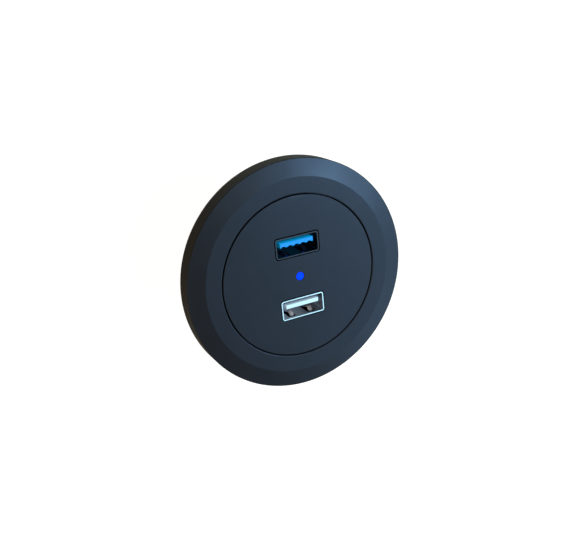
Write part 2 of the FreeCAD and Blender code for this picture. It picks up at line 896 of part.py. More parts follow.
os.makedirs("parts", exist_ok=True)
save("bezel_housing", bezel_housing())
save("faceplate", faceplate())
save("seat_gasket", seat_gasket())
save("clamp_washer", clamp_washer())
save("clamp_nut", clamp_nut())
for level_name in socket_places:
    save(level_name + "_shell", socket_shell(level_name))
    save(level_name + "_insulator", socket_insulator(level_name))
    save(level_name + "_contacts", *socket_contacts(level_name))
save("light_pipe", light_pipe())
save("status_led", status_led())
save("socket_board", socket_board())
save("power_board", power_board())
save("standoffs", *standoffs())
save("board_screws", *board_screws())
save("faceplate_screws", *faceplate_screws())
save("cover_screws", *cover_screws())
save("rear_cover", rear_cover())
save("inlet_body", inlet_body())
save("inlet_pin", inlet_pin())
save("inlet_leaf", inlet_leaf())
save("board_header", *board_header())
save("inductor", inductor())
save("capacitors", *capacitors())
save("converter_chip", converter_chip())
save("rectifier_diode", rectifier_diode())
save("port_controllers", *port_controllers())
save("input_fuse", input_fuse())
save("chip_resistors", *chip_resistors())
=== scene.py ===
import math

import bmesh
import bpy
from mathutils import Matrix, Vector


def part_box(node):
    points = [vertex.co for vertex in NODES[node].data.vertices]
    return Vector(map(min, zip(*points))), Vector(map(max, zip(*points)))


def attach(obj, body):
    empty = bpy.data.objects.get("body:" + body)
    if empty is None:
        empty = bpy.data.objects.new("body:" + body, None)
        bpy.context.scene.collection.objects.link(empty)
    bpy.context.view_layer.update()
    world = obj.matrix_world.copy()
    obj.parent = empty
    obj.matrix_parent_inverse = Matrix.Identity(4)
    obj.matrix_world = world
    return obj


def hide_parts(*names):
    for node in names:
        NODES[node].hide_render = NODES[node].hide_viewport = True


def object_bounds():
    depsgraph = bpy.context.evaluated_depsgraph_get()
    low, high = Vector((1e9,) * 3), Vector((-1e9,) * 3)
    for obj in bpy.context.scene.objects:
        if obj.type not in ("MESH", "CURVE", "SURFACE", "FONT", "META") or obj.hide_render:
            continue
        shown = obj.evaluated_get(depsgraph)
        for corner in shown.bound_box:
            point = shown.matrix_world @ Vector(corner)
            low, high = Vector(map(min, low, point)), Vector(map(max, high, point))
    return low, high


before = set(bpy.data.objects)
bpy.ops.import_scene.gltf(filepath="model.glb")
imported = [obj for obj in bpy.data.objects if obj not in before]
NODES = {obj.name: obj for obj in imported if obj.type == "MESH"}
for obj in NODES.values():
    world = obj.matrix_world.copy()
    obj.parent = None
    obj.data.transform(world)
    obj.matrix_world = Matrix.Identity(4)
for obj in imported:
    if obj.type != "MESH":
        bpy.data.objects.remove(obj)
cad_low, cad_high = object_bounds()

MM = 0.001

# Places read from the frame, in metres
HOUSING_LOW, HOUSING_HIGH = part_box("bezel_housing")
PLATE_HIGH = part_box("faceplate")[1]
GASKET_LOW, GASKET_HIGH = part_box("seat_gasket")
WASHER_LOW, WASHER_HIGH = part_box("clamp_washer")
NUT_LOW, NUT_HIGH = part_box("clamp_nut")
LAMP_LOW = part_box("light_pipe")[0]
SHELL_LOW, SHELL_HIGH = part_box("upper_shell")
FACE = HOUSING_HIGH.z
FLANGE_RADIUS = HOUSING_HIGH.x
FACEPLATE_RADIUS = PLATE_HIGH.x
BARREL_END = HOUSING_LOW.z
SOCKET_OFFSET = (SHELL_LOW.y + SHELL_HIGH.y) / 2.0
SHELL_WIDTH = SHELL_HIGH.x - SHELL_LOW.x
SHELL_HEIGHT = SHELL_HIGH.y - SHELL_LOW.y

# Sizes of the flange and the face
CHAMFER_WIDTH = 4.9 * MM
CHAMFER_DROP = 0.95 * MM
CHAMFER_EASE = 0.35 * MM
RIM_EASE = 0.2 * MM
SMALL_EASE = 0.2 * MM
FACE_GROOVE = 0.33 * MM
GROOVE_EASE = 0.3 * MM
PLATE_THICKNESS = 2.0 * MM
PLATE_EASE = 0.12 * MM
WINDOW_GAP = 0.3 * MM
WINDOW_CORNER = 0.9 * MM
SHELL_WALL = 0.3 * MM
TONGUE_SETBACK = 0.3 * MM
TONGUE_WIDTH = 10.2 * MM
TONGUE_TO_SHELL = 1.4 * MM
RIM_WALL = 2.2 * MM
UNDERSIDE = 2.0 * MM
GASKET_WIDTH = 3.8 * MM
GASKET_EASE = 0.5 * MM

# Sizes of the light pipe. A circle of the pole radius closes each end.
LAMP_RADIUS = 1.15 * MM
LAMP_HOLE_GAP = 0.05 * MM
LAMP_DOME = 0.06 * MM
LAMP_COLLAR = 2.0 * MM
LAMP_COLLAR_HEIGHT = 1.0 * MM
LAMP_EASE = 0.1 * MM
POLE_RADIUS = 0.02 * MM

# Sizes of the barrel and its thread
BARREL_BORE = 16.0 * MM
THREAD_CORE = 17.6 * MM
THREAD_DEPTH = 1.0 * MM
THREAD_PITCH = 3.0 * MM
THREAD_ROOT = 1.7 * MM
THREAD_CREST = 0.7 * MM
THREAD_CLEARANCE = 0.3 * MM
THREAD_RUN_OUT = 1.2 * MM
COLLAR_RADIUS = 18.75 * MM
COLLAR_LENGTH = 4.0 * MM
THREAD_TO_END = 0.4 * MM
THREAD_TO_COLLAR = 0.3 * MM
THREAD_START = BARREL_END + THREAD_RUN_OUT
THREAD_LOW = BARREL_END + THREAD_TO_END
THREAD_HIGH = -COLLAR_LENGTH - THREAD_TO_COLLAR

# Sizes of the ribs under the flange, and of the ring round the collar that they grow from
ROOT_RING = 0.6 * MM
RIB_COUNT = 12
RIB_THICKNESS = 1.2 * MM
RIB_HEIGHT = 1.4 * MM
RIB_ROOT = 0.2 * MM
RIB_TO_GASKET = 1.0 * MM
RIB_EASE = 0.15 * MM

# Sizes of the nut and washer
NUT_BODY_RADIUS = 25.0 * MM
NUT_FLANGE = 1.3 * MM
NUT_FLUTES = 18
FLUTE_RADIUS = 2.6 * MM
FLUTE_DEPTH = 1.1 * MM
FLUTE_EASE = 0.35 * MM
NUT_EASE = 0.5 * MM
NUT_RIM_EASE = 0.3 * MM
NUT_LEAD_IN = 0.5 * MM
NUT_MOUTH_ROOM = 0.15 * MM
NUT_MOUTH_EASE = 0.1 * MM
WASHER_BORE = 19.1 * MM
WASHER_EASE = 0.4 * MM
WASHER_BORE_EASE = 0.15 * MM
WASHER_GROOVE_DEPTH = 0.18 * MM
WASHER_GROOVE_HALF = 0.8 * MM
WASHER_GROOVE_FLOOR_HALF = 0.48 * MM
WASHER_GROOVE_EASE = 0.1 * MM

# Sizes of the screws and of the cross in their heads
HEAD_RADIUS = 1.8 * MM
HEAD_HEIGHT = 1.2 * MM
HEAD_DOME = 0.25 * MM
HEAD_DOME_EASE = 0.3 * MM
HEAD_EASE = 0.1 * MM
POINT_LENGTH = 0.3 * MM
POINT_RADIUS = 0.05 * MM
CROSS_DEPTH = 0.55 * MM
CROSS_HALF_WIDTH = 0.2 * MM
CROSS_REACH = 0.95 * MM
CROSS_TAPER = 0.8

# Fineness of the meshes, and the angles in degrees that count as sharp or as flat
TURN_STEPS = 192
SMALL_TURN_STEPS = 48
THREAD_ROWS = 18
ARC_STEPS = 5
MERGE_DISTANCE = 1e-7
SHARP_TURNED = 40.0
SHARP_PLATE = 25.0
SHARP_SCREW = 30.0
SHARP_EASED = 28.0
FLAT = 0.5

# How much more a large face counts in the shading than a small one, where 50 is no more
FACE_WEIGHT = 70


def arc_corner(before, corner, after, radius):
    """The points of a round corner of that radius, between its two straight sides."""
    first = (before - corner).normalized()
    second = (after - corner).normalized()
    half = first.angle(second) / 2.0
    centre = corner + (first + second).normalized() * (radius / math.sin(half))
    start = corner + first * (radius / math.tan(half)) - centre
    end = corner + second * (radius / math.tan(half)) - centre
    sweep = start.angle_signed(end)
    return [centre + Matrix.Rotation(-sweep * k / ARC_STEPS, 2) @ start for k in range(ARC_STEPS + 1)]


def rounded(points):
    """A closed outline of (a, b, corner radius) points, with its corners made round."""
    flat = [Vector(point[:2]) for point in points]
    outline = []
    for index, (_, _, radius) in enumerate(points):
        if radius > 0.0:
            after = flat[(index + 1) % len(flat)]
            outline.extend(arc_corner(flat[index - 1], flat[index], after, radius))
        else:
            outline.append(flat[index])
    return outline


def around(angle, radius, level):
    """A point about the Z axis."""
    return Vector((radius * math.cos(angle), radius * math.sin(angle), level))


def still(radius, level):
    """A plain circle of a turned shape, as a function of the angle."""
    return lambda angle: (radius, level)


def circles(outline):
    """The plain circles that a turned outline's points draw."""
    return [still(point.x, point.y) for point in outline]


def add_rings(bm, rings, closed, steps=TURN_STEPS):
    """Joins rings, each a function of the angle that gives radius and level, into a turned skin."""
    step = 2.0 * math.pi / steps
    rows = []
    for ring in rings:
        rows.append([bm.verts.new(around(k * step, *ring(k * step))) for k in range(steps)])
    pairs = list(zip(rows, rows[1:]))
    if closed:
        pairs.append((rows[-1], rows[0]))
    for low, high in pairs:
        for k in range(steps):
            after = (k + 1) % steps
            bm.faces.new((low[k], low[after], high[after], high[k]))
    return rows


def add_helix_skin(bm, shape, low, high):
    """A skin that follows the thread between two levels, where shape(angle, level) gives its radius."""
    step = 2.0 * math.pi / TURN_STEPS
    rise = THREAD_PITCH / THREAD_ROWS
    rows = math.ceil((high - low) / rise) + THREAD_ROWS
    grid = []
    for row in range(rows + 1):
        line = []
        for k in range(TURN_STEPS + 1):
            level = low - THREAD_PITCH + row * rise + THREAD_PITCH * k / TURN_STEPS
            level = min(max(level, low), high)
            line.append(bm.verts.new(around(k * step, shape(k * step, level), level)))
        grid.append(line)
    for below, above in zip(grid, grid[1:]):
        for k in range(TURN_STEPS):
            bm.faces.new((below[k], below[k + 1], above[k + 1], above[k]))


def close_up(bm, sharp_degrees=SHARP_TURNED):
    """Merges what coincides, turns the faces outwards, and keeps only real edges sharp."""
    bmesh.ops.remove_doubles(bm, verts=bm.verts, dist=MERGE_DISTANCE)
    bmesh.ops.dissolve_degenerate(bm, edges=bm.edges, dist=MERGE_DISTANCE)
    bmesh.ops.recalc_face_normals(bm, faces=bm.faces)
    smooth_but_sharp(bm, sharp_degrees)


def smooth_but_sharp(bm, sharp_degrees):
    """Shades every face smooth, and keeps the edges that bend more than that angle sharp."""
    limit = math.radians(sharp_degrees)
    for face in bm.faces:
        face.smooth = True
    for edge in bm.edges:
        edge.smooth = len(edge.link_faces) == 2 and edge.calc_face_angle(0.0) < limit


def mesh_from(bm, name):
    """Turns a bmesh into a mesh, and frees it."""
    mesh = bpy.data.meshes.new(name)
    bm.to_mesh(mesh)
    bm.free()
    return mesh


def finished(mesh, name, material, body, nodes):
    """Puts a mesh in the scene as a piece that rides on its body and stands for its nodes."""
    piece = bpy.data.objects.new(name, mesh)
    bpy.context.scene.collection.objects.link(piece)
    mesh.materials.clear()
    mesh.materials.append(material)
    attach(piece, body)
    if nodes:
        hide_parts(*nodes)
    even_normals = piece.modifiers.new("even normals", "WEIGHTED_NORMAL")
    even_normals.keep_sharp = True
    even_normals.weight = FACE_WEIGHT
    return piece


# Materials. Every pattern reads object coordinates, in metres.


class Wire:
    """A number that a material works out. An expression on it adds Math nodes."""

    def __init__(self, recipe, socket):
        self.recipe = recipe
        self.socket = socket

    def sum_of(self, operation, first, second):
        return self.recipe.node("ShaderNodeMath", {"operation": operation}, {0: first, 1: second})

    def __add__(self, other):
        return self.sum_of("ADD", self, other)

    def __radd__(self, other):
        return self.sum_of("ADD", other, self)

    def __sub__(self, other):
        return self.sum_of("SUBTRACT", self, other)

    def __rsub__(self, other):
        return self.sum_of("SUBTRACT", other, self)

    def __mul__(self, other):
        return self.sum_of("MULTIPLY", self, other)

    def __rmul__(self, other):
        return self.sum_of("MULTIPLY", other, self)


class Recipe:
    """A material with a Principled shader, and the nodes that feed it."""

    def __init__(self, name):
        self.material = bpy.data.materials.new(name)
        self.material.use_nodes = True
        self.tree = self.material.node_tree
        self.tree.nodes.clear()
        self.place = self.node("ShaderNodeTexCoord", {}, {}, "Object")

    def node(self, kind, settings, inputs, output=0):
        """Adds a node with its settings first, then the values or links of its sockets."""
        made = self.tree.nodes.new(kind)
        for key, value in settings.items():
            setattr(made, key, value)
        for key, value in inputs.items():
            if isinstance(value, Wire):
                self.tree.links.new(value.socket, made.inputs[key])
            else:
                made.inputs[key].default_value = value
        return Wire(self, made.outputs[output]) if made.outputs else None

    def noise(self, size, detail):
        """Soft noise whose lumps are about that many metres across."""
        inputs = {"Vector": self.place, "Scale": 1.0 / size, "Detail": detail, "Roughness": 0.55}
        return self.node("ShaderNodeTexNoise", {"noise_dimensions": "3D"}, inputs)

    def stretched(self, x, y, z):
        """Object coordinates scaled along each axis, for grain that runs one way or to leave one out."""
        return self.node("ShaderNodeMapping", {}, {"Vector": self.place, "Scale": (x, y, z)})

    def above(self, low, high, axis="Z"):
        """Where a point stands between two levels along an axis, as 0 to 1."""
        level = self.node("ShaderNodeSeparateXYZ", {}, {"Vector": self.place}, axis)
        return self.between(level, low, high)

    def between(self, value, low, high):
        """Where a number lies between two limits, as 0 to 1."""
        limits = {"Value": value, "From Min": low, "From Max": high}
        return self.node("ShaderNodeMapRange", {"interpolation_type": "SMOOTHSTEP"}, limits)

    def near(self, centre, reach):
        """1 at a point, falling smoothly to 0 at that distance from it."""
        ends = {0: self.place, 1: centre}
        away = self.node("ShaderNodeVectorMath", {"operation": "DISTANCE"}, ends, 1)
        return 1.0 - self.between(away, 0.0, reach)

    def blend(self, share, first, second):
        """A colour between two others. A Mix node's colours are its inputs 6 and 7 and its output 2."""
        return self.node("ShaderNodeMix", {"data_type": "RGBA"}, {0: share, 6: first, 7: second}, 2)

    def bump(self, height, distance, strength):
        """The normal of a relief of that height, as deep as that distance in metres."""
        inputs = {"Height": height, "Distance": distance, "Strength": strength}
        return self.node("ShaderNodeBump", {}, inputs)

    def shaded(self, **inputs):
        """Ends the recipe with the shader. Each input's name has _ for a space."""
        named = {key.replace("_", " "): value for key, value in inputs.items()}
        shader = self.node("ShaderNodeBsdfPrincipled", {}, named)
        self.node("ShaderNodeOutputMaterial", {}, {"Surface": shader})
        return self.material


def rgb(red, green, blue):
    return (red, green, blue, 1.0)


# Sizes of the patterns in the finishes, in metres
FLOW_MARKS = 9.0 * MM
RUBBED_PATCHES = 22.0 * MM
PLASTIC_RELIEF = 0.02 * MM
PLATING_CLOUDS = 3.5 * MM
ROLLED_RELIEF = 0.012 * MM
SHELL_RELIEF = 0.004 * MM
NYLON_SWIRLS = 1.6 * MM
NYLON_GRAIN = 0.12 * MM
NYLON_RELIEF = 0.004 * MM
LENS_GRAIN = 0.3 * MM
LENS_RELIEF = 0.005 * MM
FOAM_PORES = 0.45 * MM
PORE_RELIEF = 0.08 * MM
WEAVE_RELIEF = 0.01 * MM

# Rolling lines to the metre, counted along them and across them
LINES_ALONG = 500.0
LINES_ACROSS = 9000.0

# The rim of a shell, worn bright by plugs and painted paler as a highlight, down to the first depth and not
# at all below the second
RIM_WEAR_AND_HIGHLIGHT_FULL = 0.06 * MM
RIM_WEAR_AND_HIGHLIGHT_END = 0.14 * MM

# The inner face of a shell's lower wall, from the middle of the socket
LOWER_WALL = SHELL_WALL - SHELL_HEIGHT / 2.0

# Painted glints in the upper shell, blue light painted on the metal as a glow: their places along X, how
# deep they lie below the face, and their colour
GLINTS_AT = (-3.24 * MM, 2.02 * MM)
GLINT_DEPTH = 0.87 * MM
GLINT_RADIUS = 0.45 * MM
PAINTED_GLINT_BLUE = rgb(0.014, 0.04, 0.45)

# Painted light in the lower shell: painted reflection to painted shade along its lower wall from left to
# right, painted reflections on the tips of its fingers, and a painted shadow in one corner
WALL_SKIN = 0.1 * MM
WALL_SKIN_END = 0.3 * MM
WALL_LEFT = -6.5 * MM
WALL_RIGHT = 3.5 * MM
WALL_PAINTED_REFLECTION = rgb(0.92, 0.92, 1.0)
WALL_PAINTED_SHADE = rgb(0.47, 0.48, 0.56)
TIP_ASIDE = 2.95 * MM
TIP_LEVEL = 0.96 * MM
TIP_DEPTH = 2.6 * MM
TIP_REACH = 2.2 * MM
TIP_PAINTED_REFLECTION = rgb(0.74, 0.55, 0.5)
CORNER_LEVEL = 2.2 * MM
CORNER_DEPTH = 1.5 * MM
CORNER_REACH = 2.6 * MM
CORNER_PAINTED_SHADOW = rgb(0.12, 0.12, 0.12)

# How deep below the face a tongue's painted shade begins and ends, how thick the painted bands are at its
# edges, and how strong the painted shade on its right end is
TOP_PALE = 0.7 * MM
TOP_DARK = 2.9 * MM
BASE_PALE = 6.0 * MM
BASE_DARK = 13.0 * MM
TOP_SKIN = 0.1 * MM
TOP_SKIN_END = 0.03 * MM
END_SKIN = 0.06 * MM
FRONT_SKIN = 0.16 * MM
RIGHT_END_PAINTED_SHADE = 0.9

# How far from its middle the light pipe is at its brightest, and at its dimmest
LAMP_BRIGHTEST = 0.2 * MM
LAMP_DIMMEST = 1.25 * MM


def moulded_plastic(name, colour, worn, roughness, grain, specular):
    """Fine spark-eroded grain over faint flow marks, a little paler and smoother where hands rub it."""
    recipe = Recipe(name)
    cloudy = recipe.between(recipe.noise(FLOW_MARKS, 2.0), 0.3, 0.7)
    speck = recipe.noise(grain, 2.0)
    tint = recipe.blend(cloudy * 0.55 + speck * 0.35, colour, worn)
    rubbed = recipe.between(recipe.noise(RUBBED_PATCHES, 1.0), 0.45, 0.75)
    return recipe.shaded(
        Base_Color=tint,
        Roughness=roughness - rubbed * 0.05 + speck * 0.06,
        Normal=recipe.bump(speck, PLASTIC_RELIEF, 0.55),
        Specular_IOR_Level=specular,
    )


def plated_metal(
    name, colour, shade, roughness, along, relief=ROLLED_RELIEF, rim=None, inside=None, painted_glow=None
):
    """Plated sheet metal, rolled along one axis. A shell also has a worn rim painted paler as a highlight,
    and painted reflections, painted shade or a painted glow inside.
    """
    recipe = Recipe(name)
    stretch = [LINES_ALONG if axis == along else LINES_ACROSS for axis in "xyz"]
    lines = recipe.node(
        "ShaderNodeTexNoise",
        {"noise_dimensions": "3D"},
        {"Vector": recipe.stretched(*stretch), "Scale": 1.0, "Detail": 2.0, "Roughness": 0.6},
    )
    cloudy = recipe.between(recipe.noise(PLATING_CLOUDS, 2.0), 0.35, 0.7)
    tint = recipe.blend(cloudy * 0.6 + lines * 0.3, colour, shade)
    # Painted reflections and painted shade inside a shell
    if inside:
        tint = inside(recipe, tint)
    # The rim: worn bright by plugs, and painted paler as a highlight
    if rim:
        tint = recipe.blend(recipe.above(FACE - RIM_WEAR_AND_HIGHLIGHT_END, FACE - RIM_WEAR_AND_HIGHLIGHT_FULL), tint, rim)
    looks = {
        "Base_Color": tint,
        "Metallic": 1.0,
        "Roughness": roughness + lines * 0.12 + cloudy * 0.05,
        "Normal": recipe.bump(lines, relief, 0.5),
    }
    # A painted glow, such as the painted glints of the upper shell
    if painted_glow:
        looks["Emission_Color"] = painted_glow(recipe)
        looks["Emission_Strength"] = 1.0
    return recipe.shaded(**looks)


def painted_lamp_glints(recipe):
    """Two painted glints: blue glow painted on the metal by the slots round the upper socket's fingers,
    where the lamp's light would leak through.
    """
    lit = 0.0
    for x in GLINTS_AT:
        place = (x, SOCKET_OFFSET + LOWER_WALL, FACE - GLINT_DEPTH)
        lit = recipe.near(place, GLINT_RADIUS) + lit
    return recipe.blend(lit, rgb(0.0, 0.0, 0.0), PAINTED_GLINT_BLUE)


def lower_shell_painted_light(recipe, tint):
    """Painted light: a painted reflection on the lower wall turning to painted shade to the right, painted
    warm reflections on the finger tips, and a painted shadow in one corner.
    """
    wall = LOWER_WALL - SOCKET_OFFSET
    # Painted reflection on the lower wall, pale at the left, turning to painted shade at the right
    on_wall = 1.0 - recipe.above(wall + WALL_SKIN, wall + WALL_SKIN_END, "Y")
    across = recipe.above(WALL_LEFT, WALL_RIGHT, "X")
    tint = recipe.blend(on_wall, tint, recipe.blend(across, WALL_PAINTED_REFLECTION, WALL_PAINTED_SHADE))
    # Painted warm reflections on the two finger tips
    for x in (-TIP_ASIDE, TIP_ASIDE):
        tip = (x, wall + TIP_LEVEL, FACE - TIP_DEPTH)
        tint = recipe.blend(recipe.near(tip, TIP_REACH), tint, TIP_PAINTED_REFLECTION)
    # Painted shadow in the upper right corner
    corner = (SHELL_HIGH.x - SHELL_WALL, CORNER_LEVEL - SOCKET_OFFSET, FACE - CORNER_DEPTH)
    return recipe.blend(recipe.near(corner, CORNER_REACH), tint, CORNER_PAINTED_SHADOW)


def dyed_moulding_with_painted_light(name, place, colour, shade, deep, front, roughness, painted_glow, base_painted_shade, left_end_painted_shade):
    """Dyed nylon of a socket tongue with painted light: a painted glow, a painted lit front, and painted
    shade behind, near the base and at its ends.
    """
    recipe = Recipe(name)
    top = place + SHELL_HEIGHT / 2.0 - TONGUE_TO_SHELL
    end = TONGUE_WIDTH / 2.0
    tip = FACE - TONGUE_SETBACK
    swirl = recipe.between(recipe.noise(NYLON_SWIRLS, 3.0), 0.3, 0.75)
    tint = recipe.blend(swirl * 0.5, colour, shade)
    # Painted shade on the top face behind the front, where the shell's upper wall shades it
    on_top = recipe.above(top - TOP_SKIN, top - TOP_SKIN_END, "Y")
    behind_front = 1.0 - recipe.above(FACE - TOP_DARK, FACE - TOP_PALE)
    tint = recipe.blend(on_top * behind_front, tint, deep)
    # Painted shade deeper in, near the base
    near_base = 1.0 - recipe.above(FACE - BASE_DARK, FACE - BASE_PALE)
    tint = recipe.blend(near_base * base_painted_shade, tint, deep)
    # Painted shade at both ends, strongest at the right
    on_left = 1.0 - recipe.above(-end, END_SKIN - end, "X")
    on_right = recipe.above(end - END_SKIN, end, "X")
    tint = recipe.blend(on_left * left_end_painted_shade + on_right * RIGHT_END_PAINTED_SHADE, tint, deep)
    # The front face painted in a colour of its own: a painted highlight on the pale tongue and painted shade
    # on the blue
    tint = recipe.blend(recipe.above(tip - FRONT_SKIN, tip), tint, front)
    return recipe.shaded(
        Base_Color=tint,
        Roughness=roughness + swirl * 0.08,
        Normal=recipe.bump(recipe.noise(NYLON_GRAIN, 2.0), NYLON_RELIEF, 0.4),
        # The tongue glows in its own colour: a painted glow, for it is no lamp
        Emission_Color=tint,
        Emission_Strength=painted_glow,
    )


def lamp_plastic():
    """A clear blue light pipe, lit from below and brightest in the middle."""
    recipe = Recipe("lamp blue")
    flattened = recipe.stretched(1, 1, 0)
    away = recipe.node("ShaderNodeVectorMath", {"operation": "LENGTH"}, {0: flattened}, 1)
    middle = 1.0 - recipe.between(away, LAMP_BRIGHTEST, LAMP_DIMMEST)
    grain = recipe.noise(LENS_GRAIN, 2.0)
    core = recipe.blend(middle * 0.8 + grain * 0.2, rgb(0.0, 0.035, 0.95), rgb(0.0, 0.05, 1.0))
    return recipe.shaded(
        Base_Color=core,
        Roughness=0.5 + grain * 0.1,
        Normal=recipe.bump(grain, LENS_RELIEF, 0.3),
        Specular_IOR_Level=0.04,
        Emission_Color=core,
        Emission_Strength=0.85,
    )


def foam_rubber():
    """Closed-cell foam with small open pores on its skin."""
    recipe = Recipe("gasket foam")
    cell_inputs = {"Vector": recipe.place, "Scale": 1.0 / FOAM_PORES}
    cells = recipe.node("ShaderNodeTexVoronoi", {"feature": "F1"}, cell_inputs)
    pores = recipe.between(cells, 0.1, 0.5)
    return recipe.shaded(
        Base_Color=recipe.blend(pores, rgb(0.012, 0.012, 0.013), rgb(0.035, 0.035, 0.037)),
        Roughness=0.85 + pores * 0.1,
        Normal=recipe.bump(pores, PORE_RELIEF, 0.8),
    )


def solder_mask():
    """Green board lacquer over fibre glass, with the weave just showing."""
    recipe = Recipe("board laminate")
    weave_inputs = {"Vector": recipe.place, "Scale": 260.0, "Distortion": 1.5}
    weave = recipe.node("ShaderNodeTexWave", {"wave_type": "BANDS"}, weave_inputs)
    return recipe.shaded(
        Base_Color=recipe.blend(weave * 0.4, rgb(0.006, 0.085, 0.03), rgb(0.012, 0.14, 0.05)),
        Roughness=0.3 + weave * 0.1,
        Normal=recipe.bump(weave, WEAVE_RELIEF, 0.4),
    )


# The flange and the faceplate are moulded alike
face_looks = (rgb(0.0085, 0.0115, 0.0145), rgb(0.0115, 0.015, 0.019), 0.36, 0.22 * MM, 0.3)
housing_plastic = moulded_plastic("housing plastic", *face_looks)
faceplate_plastic = moulded_plastic("faceplate plastic", *face_looks)
nut_plastic = moulded_plastic(
    "nut plastic", rgb(0.026, 0.027, 0.029), rgb(0.042, 0.043, 0.045), 0.48, 0.3 * MM, 0.5
)
cover_plastic = moulded_plastic(
    "cover plastic", rgb(0.014, 0.016, 0.019), rgb(0.024, 0.026, 0.029), 0.52, 0.3 * MM, 0.5
)
inlet_plastic = moulded_plastic(
    "inlet plastic", rgb(0.01, 0.01, 0.011), rgb(0.018, 0.018, 0.019), 0.4, 0.3 * MM, 0.5
)
chip_black = moulded_plastic(
    "chip black", rgb(0.014, 0.014, 0.015), rgb(0.028, 0.028, 0.03), 0.55, 0.12 * MM, 0.4
)
ferrite = moulded_plastic(
    "ferrite", rgb(0.035, 0.034, 0.034), rgb(0.07, 0.068, 0.066), 0.6, 0.2 * MM, 0.3
)
ceramic = moulded_plastic(
    "ceramic", rgb(0.3, 0.24, 0.18), rgb(0.4, 0.34, 0.27), 0.45, 0.1 * MM, 0.5
)
washer_steel = plated_metal("washer steel", rgb(0.6, 0.61, 0.6), rgb(0.43, 0.45, 0.47), 0.3, "x")
# The lower shell: a rim worn and painted paler as a highlight, with painted reflections and painted shade
# inside
bright_nickel = plated_metal(
    "bright nickel",
    rgb(0.77, 0.7, 0.73),
    rgb(0.59, 0.53, 0.56),
    0.3,
    "z",
    relief=SHELL_RELIEF,
    rim=rgb(0.78, 0.92, 0.78),
    inside=lower_shell_painted_light,
)
# The upper shell: a rim worn and painted paler as a highlight, with two painted glints glowing blue inside
dark_nickel = plated_metal(
    "dark nickel",
    rgb(0.024, 0.026, 0.032),
    rgb(0.013, 0.014, 0.018),
    0.4,
    "z",
    relief=SHELL_RELIEF,
    rim=rgb(0.06, 0.062, 0.06),
    painted_glow=painted_lamp_glints,
)
contact_metal = plated_metal("contact metal", rgb(0.72, 0.62, 0.4), rgb(0.58, 0.48, 0.3), 0.28, "z")
post_brass = plated_metal("post brass", rgb(0.72, 0.52, 0.22), rgb(0.58, 0.4, 0.16), 0.3, "z")
screw_steel = plated_metal("screw steel", rgb(0.5, 0.5, 0.5), rgb(0.36, 0.37, 0.38), 0.32, "x")
inlet_metal = plated_metal("inlet metal", rgb(0.7, 0.7, 0.68), rgb(0.55, 0.55, 0.53), 0.2, "z")
can_metal = plated_metal("capacitor can", rgb(0.68, 0.69, 0.7), rgb(0.52, 0.53, 0.55), 0.3, "z")
# For each tongue, deep is its painted shade, front its painted front face, and the glow strength its painted
# glow
blue_moulding = dyed_moulding_with_painted_light(
    "blue moulding",
    place=SOCKET_OFFSET,
    colour=rgb(0.002, 0.47, 1.0),
    shade=rgb(0.002, 0.4, 0.9),
    deep=rgb(0.001, 0.17, 0.3),
    front=rgb(0.0, 0.26, 0.72),
    roughness=0.5,
    painted_glow=0.4,
    base_painted_shade=0.95,
    left_end_painted_shade=0.9,
)
pale_moulding = dyed_moulding_with_painted_light(
    "pale moulding",
    place=-SOCKET_OFFSET,
    colour=rgb(0.72, 0.93, 1.0),
    shade=rgb(0.66, 0.85, 0.96),
    deep=rgb(0.035, 0.045, 0.07),
    front=rgb(0.76, 1.0, 0.94),
    roughness=0.4,
    painted_glow=0.16,
    base_painted_shade=0.3,
    left_end_painted_shade=0.3,
)
lamp_blue = lamp_plastic()
gasket_foam = foam_rubber()
board_laminate = solder_mask()


# The housing: flange, collar and threaded barrel in one skin


def ridge_height(angle, level, root, crest):
    """How far up the thread's flank a point is, from 0 in the root to 1 on the crest."""
    along = (level - THREAD_START - THREAD_PITCH * angle / (2.0 * math.pi)) / THREAD_PITCH
    away = abs(along - round(along)) * THREAD_PITCH
    share = (root / 2.0 - away) / ((root - crest) / 2.0)
    share = min(max(share, 0.0), 1.0)
    return share * share * (3.0 - 2.0 * share)


def barrel_radius(angle, level):
    """The threaded barrel's outside, whose thread fades out at both ends."""
    room = min(level - THREAD_LOW, THREAD_HIGH - level)
    fade = min(max(room / THREAD_RUN_OUT, 0.0), 1.0)
    return THREAD_CORE + THREAD_DEPTH * fade * ridge_height(angle, level, THREAD_ROOT, THREAD_CREST)


